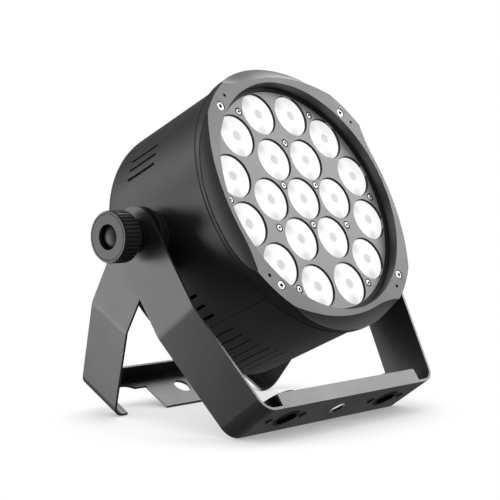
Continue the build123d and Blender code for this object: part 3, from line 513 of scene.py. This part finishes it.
# ---- painted shade at the bezel's edges, seam, gasket and plate edge
proud = 0.03 * MM               # how far a dark line stands off the bezel's outer wall
scoop_radius = 126.0 * MM
scoop_centre = Vector((-22.3, -32.35)) * MM
scoop_turn = radians(60.6)
rise_radius = 80.0 * MM
cove = [(0.0, 0.0), (3.9, 4.0), (9.2, 6.2), (17.0, 7.4)]     # run outwards and drop, in mm


def cove_drop(run):
    """How far the cove has dropped below the bezel's face, a run outwards from its top edge."""
    for (near, near_drop), (far, far_drop) in zip(cove, cove[1:]):
        if run <= far * MM:
            return (near_drop + (far_drop - near_drop) * (run / MM - near) / (far - near)) * MM
    return cove[-1][1] * MM


def scoop_run(angle):
    """How far the bezel's outer wall lies beyond the cove's top edge, at an angle in degrees."""
    past_lobe = radians((angle - lobe_angles[0]) % 90)
    point = Vector((cos(past_lobe), sin(past_lobe))) * bezel_radius
    out = point - scoop_centre
    if atan2(out.y, out.x) < scoop_turn:
        return out.length - scoop_radius
    towards_rise = Vector((cos(scoop_turn), sin(scoop_turn)))
    rise_centre = scoop_centre + towards_rise * (scoop_radius + rise_radius)
    return rise_radius - (point - rise_centre).length


def scoop_shade_lines():
    """A hairline of painted shade on the outer wall, under each scoop."""
    steps = 720
    shortest_run = 0.4 * MM
    line_top, line_bottom = -0.1 * MM, -1.35 * MM
    form = bmesh.new()
    before = None
    for k in range(steps + 1):
        angle = 360 / steps * k
        run = scoop_run(angle)
        if run < shortest_run:
            before = None
            continue
        height = bezel_face - cove_drop(run)
        u, v = polar(bezel_radius + proud, angle)
        pair = [form.verts.new((u, v, height + lift)) for lift in (line_top, line_bottom)]
        if before:
            form.faces.new((before[0], pair[0], pair[1], before[1]))
        before = pair
    return mesh_of(form, "scoop_shade_lines", painted_shade_black)


def bezel_seam():
    """Painted shadow: a dark band where the bezel meets the housing, on the bezel's outer wall."""
    radius = bezel_radius + proud
    profile = [(radius, bezel_back + 0.1 * MM), (radius, bezel_back + 1.3 * MM)]
    return turned_mesh("bezel_seam", profile, 240, painted_shade_black)


def plate_shadow_ring():
    """A black ring round the edge of the lens plate, inside the bezel: painted shadow of the bezel's wall on the
    plate.
    """
    inner, outer, top, chamfer = 80.1 * MM, 83.1 * MM, plate_front + 1.3 * MM, 0.4 * MM
    foot = plate_front + 0.05 * MM
    profile = [(outer, foot), (outer, top), (inner + chamfer, top), (inner, top - chamfer), (inner, foot)]
    return turned_mesh("plate_shadow_ring", profile, 180, painted_shade_black)


def gasket_and_seam_shade():
    """The gasket's lip, widened into a dark line between the bezel and the housing: partly the real gasket, partly
    painted shade of the seam.
    """
    section = [(-3, 0), (1.2, 0), (1.3, -0.2), (0.9, -0.8), (0.05, -0.9)]    # mm, outwards and ahead
    profile = [(shell_radius + outwards * MM, bezel_back + forward * MM) for outwards, forward in section]
    return turned_mesh("gasket_and_seam_shade", profile, 180, painted_shade_black)


add_piece("scoop_shade_lines", scoop_shade_lines(), "head")
add_piece("bezel_seam", bezel_seam(), "head")
add_piece("plate_shadow_ring", plate_shadow_ring(), "head")
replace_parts(add_piece("gasket_and_seam_shade", gasket_and_seam_shade(), "head"), "bezel_gasket")

# ---- the dark domed bolt in each knob's recess
bolt_radius = 7.2 * MM
bolt_sunk = 1.3 * MM            # the dome's top, below the knob's face
bolt_length = 2.6 * MM


def knob_bolt():
    """A low dome with a small flat, on a short shank, facing +Z with its top at height 0."""
    profile = [(0, 0), (1.6 * MM, -0.05 * MM), (3.6 * MM, -0.45 * MM), (5.4 * MM, -1.15 * MM),
               (bolt_radius - 0.2 * MM, -1.95 * MM), (bolt_radius, -2.3 * MM),
               (bolt_radius, -bolt_length), (0, -bolt_length)]
    return turned_mesh("knob_bolt", profile, 56, bolt_black)


bolt_form = knob_bolt()
for side, outward in (("left", -1), ("right", 1)):
    facing = Vector((outward, 0, 0)).to_track_quat("Z", "Y").to_matrix().to_4x4()
    middle = pivot + across * outward * (knob_face - bolt_sunk)
    bolt_place = Matrix.Translation(middle) @ facing
    add_piece(f"knob_bolt_{side}", bolt_form, f"{side}_knob", bolt_place)


# ------------------------------------------------------------------ stage
def floor_finish():
    """White where it is looked at, with soft contact shadows painted from ambient occlusion; a dark grey to what
    it lights.
    """
    painted_shadow_grey, white = (0.26, 0.26, 0.27), (1, 1, 1)
    fully_open = 0.82
    shadow_reach = 0.10
    material = bpy.data.materials.new("floor_finish")
    material.use_nodes = True
    tree = material.node_tree
    tree.nodes.clear()
    output = tree.nodes.new("ShaderNodeOutputMaterial")
    mix = tree.nodes.new("ShaderNodeMixShader")
    seen = tree.nodes.new("ShaderNodeLightPath")
    bounce = new_node(tree, "ShaderNodeBsdfDiffuse", Color=(0.16, 0.16, 0.16, 1))
    openness = new_node(tree, "ShaderNodeAmbientOcclusion", Distance=shadow_reach)
    openness.samples = 16
    glow = new_node(tree, "ShaderNodeEmission", Strength=1.0)
    shade = two_stop_ramp(tree, openness.outputs["AO"], 0.0, painted_shadow_grey, fully_open, white)
    tree.links.new(shade, glow.inputs["Color"])
    tree.links.new(seen.outputs["Is Camera Ray"], mix.inputs["Fac"])
    tree.links.new(bounce.outputs["BSDF"], mix.inputs[1])
    tree.links.new(glow.outputs["Emission"], mix.inputs[2])
    tree.links.new(mix.outputs["Shader"], output.inputs["Surface"])
    return material


floor_reach = 6.0
floor_corners = [(x * floor_reach, y * floor_reach, 0) for x, y in ((-1, -1), (1, -1), (1, 1), (-1, 1))]
floor_mesh = bpy.data.meshes.new("floor")
floor_mesh.from_pydata(floor_corners, [], [(0, 1, 2, 3)])
floor_mesh.materials.append(floor_finish())
floor = place_object("floor", floor_mesh)
floor.visible_glossy = False
floor.visible_shadow = False


def studio_world(seen_strength, fill_strength):
    """A white backdrop, which lights the object less than it shows."""
    world = bpy.data.worlds.new("studio")
    world.use_nodes = True
    tree = world.node_tree
    backdrop = tree.nodes["Background"]
    backdrop.inputs["Color"].default_value = (1, 1, 1, 1)
    seen = tree.nodes.new("ShaderNodeLightPath")
    strength = new_node(tree, "ShaderNodeMapRange", To_Min=fill_strength, To_Max=seen_strength)
    tree.links.new(seen.outputs["Is Camera Ray"], strength.inputs["Value"])
    tree.links.new(strength.outputs["Result"], backdrop.inputs["Strength"])
    return world


bpy.context.scene.world = studio_world(1.0, 0.20)
bpy.context.scene.view_settings.view_transform = "Standard"


def softbox(name, where, size, radiance):
    """An area light aimed at the middle of the head, which the camera doesn't see."""
    light = bpy.data.lights.new(name, "AREA")
    light.shape = "RECTANGLE"
    light.size, light.size_y = size
    light.energy = radiance * pi * size[0] * size[1]
    lamp = place_object(name, light)
    lamp.location = pivot + Vector(where)
    lamp.rotation_euler = (pivot - lamp.location).to_track_quat("-Z", "Y").to_euler()
    lamp.visible_camera = False


softbox("back_left_light", (-0.85, 0.98, -0.30), (0.8, 0.9), 4.7)
softbox("back_light", (-0.50, 1.10, 0.45), (0.7, 0.6), 1.9)
softbox("right_back_light", (0.95, 0.40, 0.76), (0.7, 0.6), 4.4)
softbox("top_right_light", (0.94, -0.52, 0.62), (0.62, 0.6), 7.9)
softbox("front_light", (0.20, -1.00, 0.95), (1.5, 1.2), 1.1)

# ------------------------------------------------------------------ camera
camera_offset = Vector((-0.70536, -0.63616, 0.03746))   # from the middle of the tilt axis
camera_azimuth = -48.03         # degrees
camera_drop = 3.06              # degrees below level
focal_length = 97.57            # mm, as the sensor's width is
sensor_width = 36.0
camera_data = bpy.data.cameras.new("camera")
camera_data.sensor_width = sensor_width
camera_data.lens = focal_length
camera = place_object("camera", camera_data)
camera.location = pivot + camera_offset
camera.rotation_euler = Euler((radians(90 - camera_drop), 0, radians(camera_azimuth)))
bpy.context.scene.camera = camera
